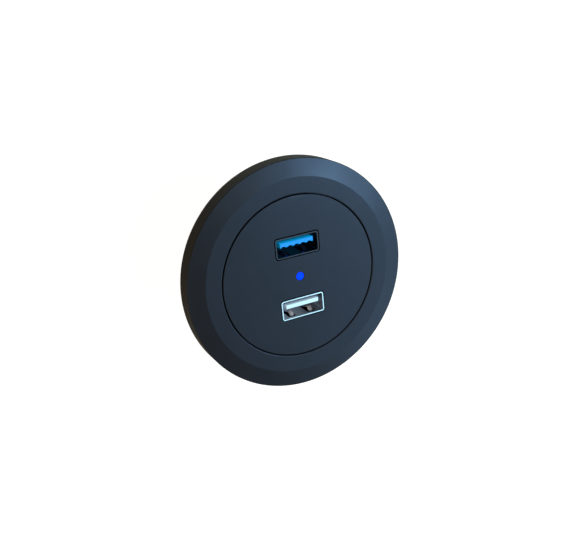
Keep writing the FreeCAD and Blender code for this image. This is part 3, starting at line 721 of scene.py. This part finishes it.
def make_housing():
    chamfer_foot = FACE - CHAMFER_DROP
    recess_radius = FACEPLATE_RADIUS + FACE_GROOVE
    recess_floor = FACE - PLATE_THICKNESS
    rib_level = UNDERSIDE - RIB_HEIGHT
    outside = [
        (THREAD_CORE, THREAD_HIGH, 0.0),
        (THREAD_CORE, -COLLAR_LENGTH, 0.0),
        (COLLAR_RADIUS, -COLLAR_LENGTH, SMALL_EASE),
        (COLLAR_RADIUS, rib_level, 0.0),
        (COLLAR_RADIUS + ROOT_RING, rib_level, SMALL_EASE),
        (COLLAR_RADIUS + ROOT_RING, UNDERSIDE, 0.0),
        (FLANGE_RADIUS - RIM_WALL, UNDERSIDE, SMALL_EASE),
        (FLANGE_RADIUS - RIM_WALL, 0.0, SMALL_EASE),
        (FLANGE_RADIUS, 0.0, SMALL_EASE),
        (FLANGE_RADIUS, chamfer_foot, RIM_EASE),
        (FLANGE_RADIUS - CHAMFER_WIDTH, FACE, CHAMFER_EASE),
        (recess_radius, FACE, GROOVE_EASE),
        (recess_radius, recess_floor, 0.0),
        (BARREL_BORE, recess_floor, 0.0),
        (BARREL_BORE, BARREL_END, SMALL_EASE),
        (THREAD_CORE, BARREL_END, SMALL_EASE),
        (THREAD_CORE, THREAD_LOW, 0.0),
    ]
    bm = bmesh.new()
    add_rings(bm, circles(rounded(outside)), closed=False)
    add_helix_skin(bm, barrel_radius, THREAD_LOW, THREAD_HIGH)
    close_up(bm)
    mesh = mesh_from(bm, "housing_skin")
    finished(mesh, "housing_skin", housing_plastic, "housing", ["bezel_housing"])


# The faceplate, with its two windows and the lamp hole


def rectangle_outline(width, height, corner, middle):
    """A rectangle with round corners, whose middle stands at that place along Y."""
    x = width / 2.0
    y = height / 2.0
    corners = [(x, -y, corner), (x, y, corner), (-x, y, corner), (-x, -y, corner)]
    return [point + Vector((0.0, middle)) for point in rounded(corners)]


def circle_outline(radius, steps):
    return [Vector((radius, 0.0)) @ Matrix.Rotation(2.0 * math.pi * k / steps, 2) for k in range(steps)]


def plate_mesh(name, outlines, thickness, ease, top):
    """A flat plate with holes and eased edges: the first outline is its rim, the others are holes."""
    curve = bpy.data.curves.new(name, "CURVE")
    curve.dimensions = "2D"
    curve.fill_mode = "BOTH"
    curve.extrude = thickness / 2.0 - ease
    curve.bevel_depth = ease
    curve.bevel_resolution = 2
    curve.offset = -ease
    for outline in outlines:
        spline = curve.splines.new("POLY")
        spline.points.add(len(outline) - 1)
        for place, point in zip(spline.points, outline):
            place.co = (point.x, point.y, 0.0, 1.0)
        spline.use_cyclic_u = True
    holder = bpy.data.objects.new(name, curve)
    bpy.context.scene.collection.objects.link(holder)
    evaluated = holder.evaluated_get(bpy.context.evaluated_depsgraph_get())
    mesh = bpy.data.meshes.new_from_object(evaluated)
    mesh.transform(Matrix.Translation((0.0, 0.0, top - thickness / 2.0)))
    bpy.data.objects.remove(holder)
    return mesh


def make_faceplate():
    width = SHELL_WIDTH + 2.0 * WINDOW_GAP
    height = SHELL_HEIGHT + 2.0 * WINDOW_GAP
    lamp_hole = LAMP_RADIUS + LAMP_HOLE_GAP
    outlines = [circle_outline(FACEPLATE_RADIUS, TURN_STEPS), circle_outline(lamp_hole, SMALL_TURN_STEPS)]
    for side in (-1, 1):
        outlines.append(rectangle_outline(width, height, WINDOW_CORNER, side * SOCKET_OFFSET))
    bm = bmesh.new()
    bm.from_mesh(plate_mesh("faceplate_curves", outlines, PLATE_THICKNESS, PLATE_EASE, FACE))
    close_up(bm, SHARP_PLATE)
    mesh = mesh_from(bm, "faceplate_disc")
    finished(mesh, "faceplate_disc", faceplate_plastic, "housing", ["faceplate"])


# The lamp


def make_lamp():
    collar_top = FACE - PLATE_THICKNESS
    collar_foot = collar_top - LAMP_COLLAR_HEIGHT
    outline = [
        (POLE_RADIUS, FACE, 0.0),
        (LAMP_RADIUS * 0.6, FACE - LAMP_DOME * 0.3, 0.0),
        (LAMP_RADIUS, FACE - LAMP_DOME * 1.6, LAMP_EASE),
        (LAMP_RADIUS, collar_top, 0.0),
        (LAMP_COLLAR, collar_top, LAMP_EASE),
        (LAMP_COLLAR, collar_foot, LAMP_EASE),
        (LAMP_RADIUS, collar_foot, 0.0),
        (LAMP_RADIUS, LAMP_LOW.z, 0.0),
        (POLE_RADIUS, LAMP_LOW.z, 0.0),
    ]
    bm = bmesh.new()
    rows = add_rings(bm, circles(rounded(outline)), closed=False)
    bm.faces.new(rows[0])
    bm.faces.new(rows[-1])
    close_up(bm)
    finished(mesh_from(bm, "lamp_lens"), "lamp_lens", lamp_blue, "housing", ["light_pipe"])


# The clamp nut, its washer and the soft ring


def nut_body_radius(angle):
    """The fluted outside of the nut, with its flute edges eased."""
    turn = 2.0 * math.pi / NUT_FLUTES
    from_flute = (angle + turn / 2.0) % turn - turn / 2.0
    reach = NUT_BODY_RADIUS + FLUTE_RADIUS - FLUTE_DEPTH
    aside = reach * math.sin(from_flute)
    if abs(aside) >= FLUTE_RADIUS:
        return NUT_BODY_RADIUS
    flute = reach * math.cos(from_flute) - math.sqrt(FLUTE_RADIUS**2 - aside**2)
    overlap = max(FLUTE_EASE - abs(NUT_BODY_RADIUS - flute), 0.0) / FLUTE_EASE
    return min(NUT_BODY_RADIUS, flute) - overlap * overlap * FLUTE_EASE / 4.0


def nut_bore_radius(angle, level):
    """The nut's own thread, which leaves the clearance round the barrel's."""
    root = THREAD_ROOT + 2.0 * THREAD_CLEARANCE
    crest = THREAD_CREST + 2.0 * THREAD_CLEARANCE
    return THREAD_CORE + THREAD_CLEARANCE + THREAD_DEPTH * ridge_height(angle, level, root, crest)


def make_nut():
    low = NUT_LOW.z
    high = NUT_HIGH.z
    bore_low = low + NUT_LEAD_IN
    bore_high = high - NUT_LEAD_IN
    mouth = THREAD_CORE + THREAD_DEPTH + THREAD_CLEARANCE + NUT_MOUTH_ROOM
    mouth_edge = mouth + NUT_MOUTH_EASE
    step_down = NUT_MOUTH_EASE / 2.0
    flange_foot = high - NUT_FLANGE
    rings = [
        lambda angle: (nut_bore_radius(angle, bore_high), bore_high),
        still(mouth, high - step_down),
        still(mouth_edge, high),
    ]
    rim = [
        (mouth_edge, high, 0.0),
        (NUT_HIGH.x, high, NUT_RIM_EASE),
        (NUT_HIGH.x, flange_foot, NUT_RIM_EASE),
        (NUT_BODY_RADIUS - FLUTE_DEPTH, flange_foot, 0.0),
    ]
    rings += circles(rounded(rim)[1:-1])
    rings.append(lambda angle: (nut_body_radius(angle), flange_foot))
    for k in range(ARC_STEPS + 1):
        turn = math.pi / 2.0 * k / ARC_STEPS
        inward = NUT_EASE * (1.0 - math.cos(turn))
        level = low + NUT_EASE * (1.0 - math.sin(turn))
        rings.append(lambda angle, inward=inward, level=level: (nut_body_radius(angle) - inward, level))
    rings.append(still(mouth_edge, low))
    rings.append(still(mouth, low + step_down))
    rings.append(lambda angle: (nut_bore_radius(angle, bore_low), bore_low))
    bm = bmesh.new()
    add_rings(bm, rings, closed=False)
    add_helix_skin(bm, nut_bore_radius, bore_low, bore_high)
    close_up(bm)
    mesh = mesh_from(bm, "clamp_nut_body")
    finished(mesh, "clamp_nut_body", nut_plastic, "nut", ["clamp_nut"])


def make_washer():
    outer = WASHER_HIGH.x
    low = WASHER_LOW.z
    high = WASHER_HIGH.z
    middle = (WASHER_BORE + outer) / 2.0
    groove_floor = high - WASHER_GROOVE_DEPTH
    outline = [
        (outer, low, WASHER_EASE),
        (outer, high, WASHER_EASE),
        (middle + WASHER_GROOVE_HALF, high, WASHER_GROOVE_EASE),
        (middle + WASHER_GROOVE_FLOOR_HALF, groove_floor, WASHER_GROOVE_EASE),
        (middle - WASHER_GROOVE_FLOOR_HALF, groove_floor, WASHER_GROOVE_EASE),
        (middle - WASHER_GROOVE_HALF, high, WASHER_GROOVE_EASE),
        (WASHER_BORE, high, WASHER_BORE_EASE),
        (WASHER_BORE, low, WASHER_BORE_EASE),
    ]
    bm = bmesh.new()
    add_rings(bm, circles(rounded(outline)), closed=True)
    close_up(bm)
    mesh = mesh_from(bm, "clamp_washer_ring")
    finished(mesh, "clamp_washer_ring", washer_steel, "washer", ["clamp_washer"])


def make_gasket():
    outer = GASKET_HIGH.x
    inner = outer - GASKET_WIDTH
    outline = [
        (outer, GASKET_LOW.z, GASKET_EASE),
        (outer, GASKET_HIGH.z, 0.0),
        (inner, GASKET_HIGH.z, 0.0),
        (inner, GASKET_LOW.z, GASKET_EASE),
    ]
    bm = bmesh.new()
    add_rings(bm, circles(rounded(outline)), closed=True)
    close_up(bm)
    finished(mesh_from(bm, "seat_ring"), "seat_ring", gasket_foam, "housing", ["seat_gasket"])


# Copies set round the axis by Geometry Nodes: the ribs under the flange, and the screws


def ring_of_copies_tree():
    """A tree that turns copies of an object about the Z axis, and joins them into one mesh."""
    tree = bpy.data.node_groups.new("ring of copies", "GeometryNodeTree")
    sockets = tree.interface
    sockets.new_socket("Geometry", in_out="INPUT", socket_type="NodeSocketGeometry")
    sockets.new_socket("Geometry", in_out="OUTPUT", socket_type="NodeSocketGeometry")
    sockets.new_socket("Original", in_out="INPUT", socket_type="NodeSocketObject")
    sockets.new_socket("Count", in_out="INPUT", socket_type="NodeSocketInt")
    sockets.new_socket("First angle", in_out="INPUT", socket_type="NodeSocketFloat")
    sockets.new_socket("Finish", in_out="INPUT", socket_type="NodeSocketMaterial")
    nodes = tree.nodes
    link = tree.links.new
    given = nodes.new("NodeGroupInput")
    result = nodes.new("NodeGroupOutput")
    line = nodes.new("GeometryNodeMeshLine")
    line.inputs["Offset"].default_value = (0.0, 0.0, 0.0)
    link(given.outputs["Count"], line.inputs["Count"])
    index = nodes.new("GeometryNodeInputIndex")
    share = nodes.new("ShaderNodeMath")
    share.operation = "DIVIDE"
    link(index.outputs[0], share.inputs[0])
    link(given.outputs["Count"], share.inputs[1])
    angle = nodes.new("ShaderNodeMath")
    angle.operation = "MULTIPLY_ADD"
    angle.inputs[1].default_value = 2.0 * math.pi
    link(share.outputs[0], angle.inputs[0])
    link(given.outputs["First angle"], angle.inputs[2])
    turn = nodes.new("ShaderNodeCombineXYZ")
    link(angle.outputs[0], turn.inputs["Z"])
    original = nodes.new("GeometryNodeObjectInfo")
    link(given.outputs["Original"], original.inputs["Object"])
    copies = nodes.new("GeometryNodeInstanceOnPoints")
    link(line.outputs["Mesh"], copies.inputs["Points"])
    link(original.outputs["Geometry"], copies.inputs["Instance"])
    link(turn.outputs[0], copies.inputs["Rotation"])
    joined = nodes.new("GeometryNodeRealizeInstances")
    link(copies.outputs[0], joined.inputs[0])
    painted = nodes.new("GeometryNodeSetMaterial")
    link(joined.outputs[0], painted.inputs["Geometry"])
    link(given.outputs["Finish"], painted.inputs["Material"])
    link(painted.outputs[0], result.inputs[0])
    return tree


RING_OF_COPIES = ring_of_copies_tree()


def ring_of_copies(bm, name, count, first_angle, material, body, nodes):
    """Makes one original from bm, sets its copies round the axis, and keeps them as a plain mesh."""
    original = bpy.data.objects.new(name + "_original", mesh_from(bm, name + "_original"))
    holder = bpy.data.objects.new(name + "_holder", bpy.data.meshes.new(name + "_holder"))
    for made in (original, holder):
        bpy.context.scene.collection.objects.link(made)
    copies = holder.modifiers.new("copies", "NODES")
    copies.node_group = RING_OF_COPIES
    values = {"Original": original, "Count": count, "First angle": first_angle, "Finish": material}
    for item in RING_OF_COPIES.interface.items_tree:
        if item.name in values:
            copies[item.identifier] = values[item.name]
    bpy.context.view_layer.update()
    evaluated = holder.evaluated_get(bpy.context.evaluated_depsgraph_get())
    joined = bpy.data.meshes.new_from_object(evaluated)
    bpy.data.objects.remove(holder)
    bpy.data.objects.remove(original)
    finished(joined, name, material, body, nodes)


def bar_mesh(low, high, ease):
    """A straight bar between two corners, with eased edges."""
    bm = bmesh.new()
    bmesh.ops.create_cube(bm, size=1.0)
    size = high - low
    bmesh.ops.scale(bm, vec=size, verts=bm.verts)
    bmesh.ops.translate(bm, vec=(low + high) / 2.0, verts=bm.verts)
    bmesh.ops.bevel(bm, geom=bm.edges[:], offset=ease, segments=2, profile=0.6, affect="EDGES")
    close_up(bm)
    return bm


def make_ribs():
    half = RIB_THICKNESS / 2.0
    reach = GASKET_HIGH.x - GASKET_WIDTH - RIB_TO_GASKET
    low = Vector((COLLAR_RADIUS + ROOT_RING / 2.0, -half, UNDERSIDE - RIB_HEIGHT))
    high = Vector((reach, half, UNDERSIDE + RIB_ROOT))
    rib = bar_mesh(low, high, RIB_EASE)
    first = math.pi / RIB_COUNT
    ring_of_copies(rib, "flange_ribs", RIB_COUNT, first, housing_plastic, "housing", [])


def edge_loop(bm, verts):
    """The edges of a closed loop of vertices."""
    return [bm.edges.get((vert, verts[(k + 1) % len(verts)])) for k, vert in enumerate(verts)]


def cut_cross(bm, level):
    """The walls and the floor of a cross recess, whose mouth lies at that level. Gives the mouth's loop."""
    corner = (CROSS_HALF_WIDTH, -CROSS_HALF_WIDTH)
    arm = (corner, (CROSS_REACH, -CROSS_HALF_WIDTH), (CROSS_REACH, CROSS_HALF_WIDTH))
    outline = []
    for quarter in range(4):
        turn = Matrix.Rotation(math.pi / 2.0 * quarter, 2)
        outline += [turn @ Vector(point) for point in arm]
    mouth = [bm.verts.new((point.x, point.y, level)) for point in outline]
    tapered = [point * CROSS_TAPER for point in outline]
    floor = [bm.verts.new((point.x, point.y, level + CROSS_DEPTH)) for point in tapered]
    for k in range(len(outline)):
        after = (k + 1) % len(outline)
        bm.faces.new((mouth[k], mouth[after], floor[after], floor[k]))
    bm.faces.new(floor)
    return mouth


def screw_mesh(low, high, shank_radius):
    """The first screw of a set, on the X axis, where the box of the set gives its place and length."""
    seat = low.z + HEAD_HEIGHT
    outline = [
        (POINT_RADIUS, high.z, 0.0),
        (shank_radius, high.z - POINT_LENGTH, HEAD_EASE),
        (shank_radius, seat, 0.0),
        (HEAD_RADIUS, seat, HEAD_EASE),
        (HEAD_RADIUS, low.z + HEAD_DOME, HEAD_DOME_EASE),
    ]
    profile = rounded(outline)[:-1]
    profile.append(Vector((HEAD_RADIUS - HEAD_DOME, low.z)))
    bm = bmesh.new()
    rows = add_rings(bm, circles(profile), closed=False, steps=SMALL_TURN_STEPS)
    bm.faces.new(rows[0])
    mouth = cut_cross(bm, low.z)
    head_edges = edge_loop(bm, mouth) + edge_loop(bm, rows[-1])
    bmesh.ops.triangle_fill(bm, use_beauty=True, use_dissolve=False, edges=head_edges)
    bmesh.ops.translate(bm, vec=(high.y - HEAD_RADIUS, 0.0, 0.0), verts=bm.verts)
    close_up(bm, SHARP_SCREW)
    return bm


# Each set of screws: its node, its piece's name, how many there are and the radius of their shanks
SCREW_SETS = [
    ("cover_screws", "cover_screw_pair", 2, 0.85 * MM),
    ("faceplate_screws", "faceplate_screw_set", 3, 0.8 * MM),
]


def make_screws():
    first = math.pi / 2.0
    for node, name, count, shank_radius in SCREW_SETS:
        low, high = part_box(node)
        screw = screw_mesh(low, high, shank_radius)
        ring_of_copies(screw, name, count, first, screw_steel, "housing", [node])


# Pieces whose CAD shape is right, with their edges eased


def eased(node, name, width, material, body):
    """A merged copy of a node with small rounded edges, which stands for it."""
    bm = bmesh.new()
    bm.from_mesh(NODES[node].data)
    bmesh.ops.remove_doubles(bm, verts=bm.verts, dist=MERGE_DISTANCE)
    bmesh.ops.dissolve_limit(bm, angle_limit=math.radians(FLAT), verts=bm.verts, edges=bm.edges)
    smooth_but_sharp(bm, SHARP_EASED)
    piece = finished(mesh_from(bm, name), name, material, body, [node])
    soft_edges = piece.modifiers.new("soft edges", "BEVEL")
    soft_edges.width = width
    soft_edges.segments = 2
    soft_edges.limit_method = "ANGLE"
    soft_edges.angle_limit = math.radians(SHARP_EASED)
    piece.modifiers.move(1, 0)


def make_sockets():
    looks = {
        "upper": (dark_nickel, "dark_nickel", blue_moulding, "blue_moulding"),
        "lower": (bright_nickel, "bright_nickel", pale_moulding, "pale_moulding"),
    }
    for level, (metal, metal_slot, moulding, moulding_slot) in looks.items():
        eased(level + "_shell", level + "_socket_shell", 0.07 * MM, metal, "housing")
        eased(level + "_insulator", level + "_tongue", 0.08 * MM, moulding, "housing")
        eased(level + "_contacts", level + "_blades", 0.04 * MM, contact_metal, "housing")


def make_rear():
    eased("rear_cover", "rear_cover_disc", 0.15 * MM, cover_plastic, "housing")
    eased("inlet_body", "inlet_barrel", 0.12 * MM, inlet_plastic, "housing")
    eased("inlet_pin", "inlet_centre_pin", 0.06 * MM, inlet_metal, "housing")
    eased("inlet_leaf", "inlet_side_spring", 0.05 * MM, contact_metal, "housing")


def paint_inner_parts():
    """Finishes for the parts inside the barrel, which keep their CAD shape."""
    finishes = {
        "status_led": lamp_blue,
        "socket_board": board_laminate,
        "power_board": board_laminate,
        "standoffs": post_brass,
        "board_screws": screw_steel,
        "board_header": inlet_plastic,
        "inductor": ferrite,
        "capacitors": can_metal,
        "converter_chip": chip_black,
        "rectifier_diode": chip_black,
        "port_controllers": chip_black,
        "input_fuse": ceramic,
        "chip_resistors": ceramic,
    }
    for node, material in finishes.items():
        for material_slot in NODES[node].material_slots:
            material_slot.material = material


# Camera, floor and light

LENS = 55.95
SENSOR_WIDTH = 36.0
NEAR_CLIP = 0.01
FAR_CLIP = 20.0
CAMERA_PLACE = Vector((-97.8, 83.5, 206.2)) * MM + Vector((0.0, 0.0, FACE))
CAMERA_RIGHT = Vector((0.8937, -0.0972, 0.4379))
CAMERA_UP = Vector((0.2303, 0.9372, -0.2619))
FLOOR_HALF = 3.0
FLOOR_TINT = rgb(0.38, 0.3, 0.19)
FLOOR_WHITE = rgb(0.965, 0.975, 0.985)
FLOOR_GLOW = {"Is Camera Ray": 0.97, "Is Glossy Ray": 0.02, "Is Transmission Ray": 0.97}
FLOOR_SKY = rgb(0.759, 0.518, 0.295)
SKY_STRENGTH = 0.392

# Each further colour of the sky: its direction, and how nearly a ray points there for none and for all of it
SKY_COLOURS = [
    ((0.0, 0.0, 1.0), 0.0, 0.9, rgb(0.84, 0.689, 0.49)),
    ((0.75, -0.45, 0.48), 0.6, 0.9, rgb(0.811, 0.937, 1.0)),
]

# Each soft box: its direction from the object, its size in metres, its power in watts and its colour
SOFT_BOX_DISTANCE = 0.55
SOFT_BOXES = {
    "cool_key": ((0.6, 0.07, 0.8), 0.2, 2.355, (0.324, 0.6, 1.0)),
    "cool_side": ((0.66, -0.42, 0.62), 0.36, 0.891, (0.334, 0.6, 1.0)),
    "cool_top": ((0.15, 0.25, 0.95), 0.2, 0.25, (0.527, 0.769, 1.0)),
    "low_fill": ((0.75, -0.65, 0.08), 0.16, 0.2, (0.4, 0.66, 1.0)),
    "warm_side": ((-0.84, -0.2, 0.42), 0.35, 0.4, (1.0, 0.8, 0.6)),
}


def make_camera():
    right = CAMERA_RIGHT.normalized()
    back = right.cross(CAMERA_UP).normalized()
    up = back.cross(right)
    camera = bpy.data.objects.new("camera", bpy.data.cameras.new("camera"))
    bpy.context.scene.collection.objects.link(camera)
    camera.data.lens = LENS
    camera.data.sensor_width = SENSOR_WIDTH
    camera.data.clip_start = NEAR_CLIP
    camera.data.clip_end = FAR_CLIP
    turn = Matrix((right, up, back)).transposed().to_4x4()
    camera.matrix_world = Matrix.Translation(CAMERA_PLACE) @ turn
    bpy.context.scene.camera = camera


def make_floor():
    """A plain floor under the object, which the camera sees white and the object hardly mirrors."""
    sides = ((-1, -1), (1, -1), (1, 1), (-1, 1))
    corners = [(x * FLOOR_HALF, y * FLOOR_HALF, cad_low.z) for x, y in sides]
    mesh = bpy.data.meshes.new("floor")
    mesh.from_pydata(corners, [], [(0, 1, 2, 3)])
    floor = bpy.data.objects.new("floor", mesh)
    bpy.context.scene.collection.objects.link(floor)
    recipe = Recipe("floor white")
    seen = 0.0
    for kind, share in FLOOR_GLOW.items():
        seen = recipe.node("ShaderNodeLightPath", {}, {}, kind) * share + seen
    mesh.materials.append(
        recipe.shaded(
            Base_Color=FLOOR_TINT,
            Roughness=0.9,
            Emission_Color=FLOOR_WHITE,
            Emission_Strength=seen,
        )
    )


def sky_blend(tree, towards, first, last, under, colour):
    """Blends a colour into the sky as a direction turns towards a given one."""
    link = tree.links.new
    place = tree.nodes.new("ShaderNodeTexCoord")
    along = tree.nodes.new("ShaderNodeVectorMath")
    along.operation = "DOT_PRODUCT"
    along.inputs[1].default_value = towards
    link(place.outputs["Generated"], along.inputs[0])
    share = tree.nodes.new("ShaderNodeMapRange")
    share.inputs["From Min"].default_value = first
    share.inputs["From Max"].default_value = last
    link(along.outputs["Value"], share.inputs["Value"])
    tint = tree.nodes.new("ShaderNodeMix")
    tint.data_type = "RGBA"
    link(share.outputs[0], tint.inputs[0])
    if isinstance(under, tuple):
        tint.inputs[6].default_value = under
    else:
        link(under, tint.inputs[6])
    tint.inputs[7].default_value = colour
    return tint.outputs[2]


def make_world():
    """Plain studio surroundings, warm near the floor and cool at the right. The camera sees white."""
    world = bpy.data.worlds.new("studio")
    world.use_nodes = True
    tree = world.node_tree
    tree.nodes.clear()
    link = tree.links.new
    sky = FLOOR_SKY
    for towards, first, last, colour in SKY_COLOURS:
        sky = sky_blend(tree, towards, first, last, sky, colour)
    light = tree.nodes.new("ShaderNodeBackground")
    light.inputs["Strength"].default_value = SKY_STRENGTH
    link(sky, light.inputs["Color"])
    white = tree.nodes.new("ShaderNodeBackground")
    path = tree.nodes.new("ShaderNodeLightPath")
    chosen = tree.nodes.new("ShaderNodeMixShader")
    link(path.outputs["Is Camera Ray"], chosen.inputs[0])
    link(light.outputs[0], chosen.inputs[1])
    link(white.outputs[0], chosen.inputs[2])
    white.inputs["Color"].default_value = rgb(1.0, 1.0, 1.0)
    out = tree.nodes.new("ShaderNodeOutputWorld")
    link(chosen.outputs[0], out.inputs["Surface"])
    bpy.context.scene.world = world


def make_soft_box(name, direction, size, power, colour):
    """A square lamp that faces the object from that direction."""
    lamp = bpy.data.lights.new(name, "AREA")
    lamp.shape = "SQUARE"
    lamp.size = size
    lamp.energy = power
    lamp.color = colour
    holder = bpy.data.objects.new(name, lamp)
    bpy.context.scene.collection.objects.link(holder)
    towards = Vector(direction).normalized()
    turn = towards.to_track_quat("Z", "Y").to_matrix().to_4x4()
    holder.matrix_world = Matrix.Translation(towards * SOFT_BOX_DISTANCE) @ turn


def make_lights():
    for name, (direction, size, power, colour) in SOFT_BOXES.items():
        make_soft_box(name, direction, size, power, colour)


def set_view():
    bpy.context.scene.view_settings.view_transform = "Standard"


make_camera()
make_floor()
make_world()
make_lights()
set_view()
make_housing()
make_faceplate()
make_lamp()
make_nut()
make_washer()
make_gasket()
make_ribs()
make_screws()
make_sockets()
make_rear()
paint_inner_parts()
